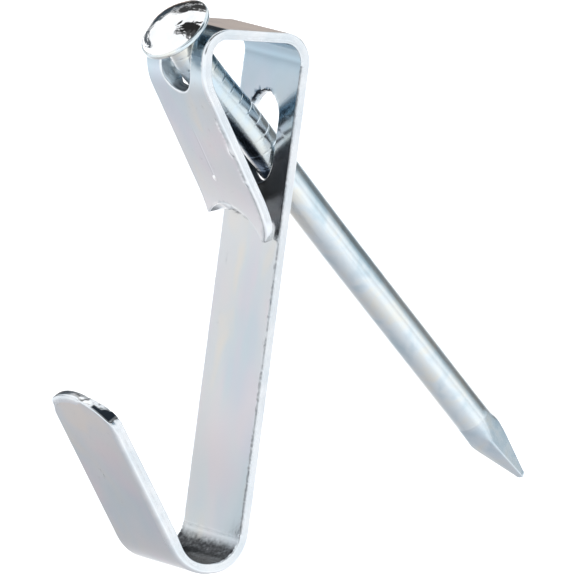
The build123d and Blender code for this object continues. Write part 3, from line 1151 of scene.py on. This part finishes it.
def nail_shank():
    m = Metal("zinc_wire")
    drawn = m.noise(1.0, 3, m.stretched((3200, 160, 3200), (radians(-NAIL_ANGLE), 0, 0)))
    cloud = m.times(m.math("ADD", m.noise(230, 3), m.noise(560, 4, warp=0.6)), 0.5)
    color = m.ramp(cloud, [(0.38, (0.5, 0.61, 0.67)), (0.5, (0.66, 0.72, 0.75)), (0.62, (0.72, 0.72, 0.67))])
    # Bluer up the shank, short of the head: painted blue shade
    under_head = m.span(m.height(), 0.0045, 0.0062, 1.0, 0.0)
    blue = m.times(m.span(m.height(), -0.002, 0.004, 0.0, 0.55), under_head)
    color = m.mixed(blue, color, (0.42, 0.56, 0.66))
    # Painted shade towards dark blue on the shank's low side and point, and a painted highlight towards
    # white on its far side
    painted_shade = m.painted_shade()
    color = m.brighter(painted_shade, m.mixed(painted_shade, color, (0.07, 0.15, 0.27)), (1.0, 1.0, 1.0))
    m.give("Base Color", m.mixed(m.span(drawn, 0.55, 0.75, 0, 0.25), color, (0.45, 0.5, 0.54)))
    m.give("Roughness", m.span(drawn, 0.3, 0.7, 0.16, 0.26))
    m.bump([(drawn, 2.2e-6), (m.noise(420, 2), 8e-6)])
    return m.material


def nail_head():
    m = Metal("zinc_polished_head")
    m.give("Base Color", m.ramp(m.noise(900, 3), [(0.3, (0.75, 0.77, 0.79)), (0.6, (0.84, 0.845, 0.85))]))
    m.give("Roughness", m.span(m.noise(1500, 3), 0.35, 0.75, 0.035, 0.13))
    m.bump([(m.noise(760, 2, warp=1.2), 6e-5), (m.noise(2400, 2, warp=0.6), 1.6e-5)])
    return m.material


strip = strip_mesh.build("bent_strip", [strip_face(), strip_edge()])
nail = nail_mesh.build("domed_nail", [nail_head(), nail_shank()])
for piece, body, node, slot in (
    (strip, "hanger", "hanger_strip", "strip_plate"),
    (nail, "nail", "nail", "nail_plate"),
):
    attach(piece, body)
    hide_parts(node)


# The stage: a wide pale floor well below the part

FLOOR_DROP = 0.03
FLOOR_HALF = 12.0
FLOOR_SHADOW_TONE = (0.79, 0.77, 0.79)
FLOOR_TONE = (0.9, 0.91, 0.92)
FLOOR_GLOW = 0.62
# Soft darker places painted on the floor, the first a painted shadow under the part: x, y, reach inside,
# reach outside
FLOOR_SHADOW = (-0.035, -0.01, 0.0, 0.13)
FLOOR_LEFT = (-0.34, -0.26, 0.1, 0.4)
FLOOR_RIGHT = (0.36, 0.27, 0.1, 0.27)
FLOOR_LEFT_GLOW = 0.38
FLOOR_RIGHT_GLOW = 0.3


def floor():
    """A wide glowing floor with a painted shadow under the part and two wider painted darker places, clear
    from below.
    """
    z = cad_low.z - FLOOR_DROP
    side = FLOOR_HALF
    mesh = bpy.data.meshes.new("floor")
    corners = [(-side, -side, z), (side, -side, z), (side, side, z), (-side, side, z)]
    mesh.from_pydata(corners, [], [range(4)])
    material = bpy.data.materials.new("pale_floor")
    material.use_nodes = True
    m = Nodes(material.node_tree)
    shader = m.tree.nodes["Principled BSDF"]
    place = m.add("TexCoord").outputs["Object"]

    def beyond(x, y, inside, outside):
        """Nothing near a place on the floor, easing to one."""
        off = m.made("VectorMath", {0: place, 1: (x, y, z)}, "Value", operation="DISTANCE")
        return m.span(off, inside, outside, 0.0, 1.0, "SMOOTHSTEP")

    # A darker tone and less glow about the part: a painted shadow
    glow = near = beyond(*FLOOR_SHADOW)
    for spot, least in ((FLOOR_LEFT, FLOOR_LEFT_GLOW), (FLOOR_RIGHT, FLOOR_RIGHT_GLOW)):
        glow = m.times(glow, m.span(beyond(*spot), 0.0, 1.0, least, 1.0))
    for name, value in (
        ("Base Color", m.mixed(near, FLOOR_SHADOW_TONE, FLOOR_TONE)),
        ("Roughness", 0.9),
        ("Specular IOR Level", 0.1),
        ("Emission Color", (1, 1, 1)),
        ("Emission Strength", m.times(glow, FLOOR_GLOW)),
    ):
        m.put(value, shader.inputs[name])
    from_below = m.add("NewGeometry").outputs["Backfacing"]
    clear = m.add("BsdfTransparent").outputs["BSDF"]
    seen = m.blended(from_below, shader.outputs["BSDF"], clear)
    m.put(seen, m.tree.nodes["Material Output"].inputs["Surface"])
    mesh.materials.append(material)
    in_scene("floor", mesh)


floor()


# The studio: a white surround with soft panels and dark flags, each at a bearing and height in degrees.
# Bearing 0 is +Y, behind the wall, and 90 is +X.

SURROUND = (1.25, 1.26, 1.27)
PANELS = [
    # bearing, height, half width, half height, softness, colour
    (-54, 4, 13, 9, 0.5, (0.66, 0.53, 0.46)),
    (-99, 1, 26, 6, 0.6, (0.12, 0.14, 0.16)),
    (-77, 21, 16, 16, 0.6, (0.05, 0.07, 0.09)),
    (-66, 51, 22, 12, 0.6, (0.06, 0.06, 0.06)),
    (-60, 24, 12, 12, 0.5, (0.05, 0.05, 0.05)),
    (66, 44, 12, 18, 0.5, (0.26, 0.36, 0.45)),
    (130, 66, 40, 14, 0.4, (0.03, 0.03, 0.03)),
    (138, 48, 18, 10, 0.5, (0.08, 0.08, 0.08)),
    (6, 15, 32, 11, 0.7, (0.6, 0.67, 0.72)),
    (-4, 20, 28, 5, 0.6, (0.16, 0.15, 0.14)),
    (127, 2, 28, 16, 0.5, (0.03, 0.03, 0.035)),
]
PANEL_SQUARENESS = 3.0


def direction(bearing, height):
    b, h = radians(bearing), radians(height)
    return Vector((sin(b) * cos(h), cos(b) * cos(h), sin(h)))


def studio():
    """Plain white to the camera, and the surround with its panels to everything else."""
    world = bpy.data.worlds.new("studio")
    bpy.context.scene.world = world
    world.use_nodes = True
    world.node_tree.nodes.clear()
    m = Nodes(world.node_tree)
    place = m.add("TexCoord").outputs["Generated"]

    def along(axis):
        return m.made("VectorMath", {0: place, 1: axis}, "Value", operation="DOT_PRODUCT")

    def off_middle(axis, half):
        share = m.math("DIVIDE", along(axis), sin(radians(half)))
        return m.math("POWER", m.math("ABSOLUTE", share), PANEL_SQUARENESS)

    color = SURROUND
    for bearing, height, half_wide, half_high, soft, tone in PANELS:
        middle = direction(bearing, height)
        aside = direction(bearing + 90, 0)
        off = m.math("ADD", off_middle(aside, half_wide), off_middle(aside.cross(middle), half_high))
        in_panel = m.span(off, 1 - soft, 1 + soft, 1.0, 0.0, "SMOOTHSTEP")
        color = m.mixed(m.times(in_panel, m.math("GREATER_THAN", along(middle), 0.0)), color, tone)
    light = m.made("Background", {"Color": color})
    plain = m.made("Background", {"Color": (1, 1, 1)})
    seen = m.add("LightPath").outputs["Is Camera Ray"]
    m.put(m.blended(seen, light, plain), m.add("OutputWorld").inputs["Surface"])


studio()


# The camera: a long lens, at the photograph's bearing, height and roll

CAMERA_BEARING = 53.18
CAMERA_HEIGHT = 5.96
CAMERA_ROLL = 7.41
CAMERA_AIM = Vector((-0.083, 2.994, -8.6)) * MM
CAMERA_DISTANCE = 1.0007
SENSOR = 36.0
LENS = 966.9

bearing, height, roll = radians(CAMERA_BEARING), radians(CAMERA_HEIGHT), radians(CAMERA_ROLL)
back = Vector((sin(bearing) * cos(height), -cos(bearing) * cos(height), sin(height)))
level = Vector((cos(bearing), sin(bearing), 0))
upright = back.cross(level)
right = level * cos(roll) + upright * sin(roll)
top = upright * cos(roll) - level * sin(roll)
camera = in_scene("camera", bpy.data.cameras.new("camera"))
camera.data.sensor_width = SENSOR
camera.data.lens = LENS
camera.data.clip_start = 0.1
camera.data.clip_end = 30.0
turn = Matrix((right, top, back)).transposed().to_4x4()
camera.matrix_world = Matrix.Translation(CAMERA_AIM + back * CAMERA_DISTANCE) @ turn
bpy.context.scene.camera = camera

view = bpy.context.scene.view_settings
view.view_transform = "Standard"
view.look = "None"
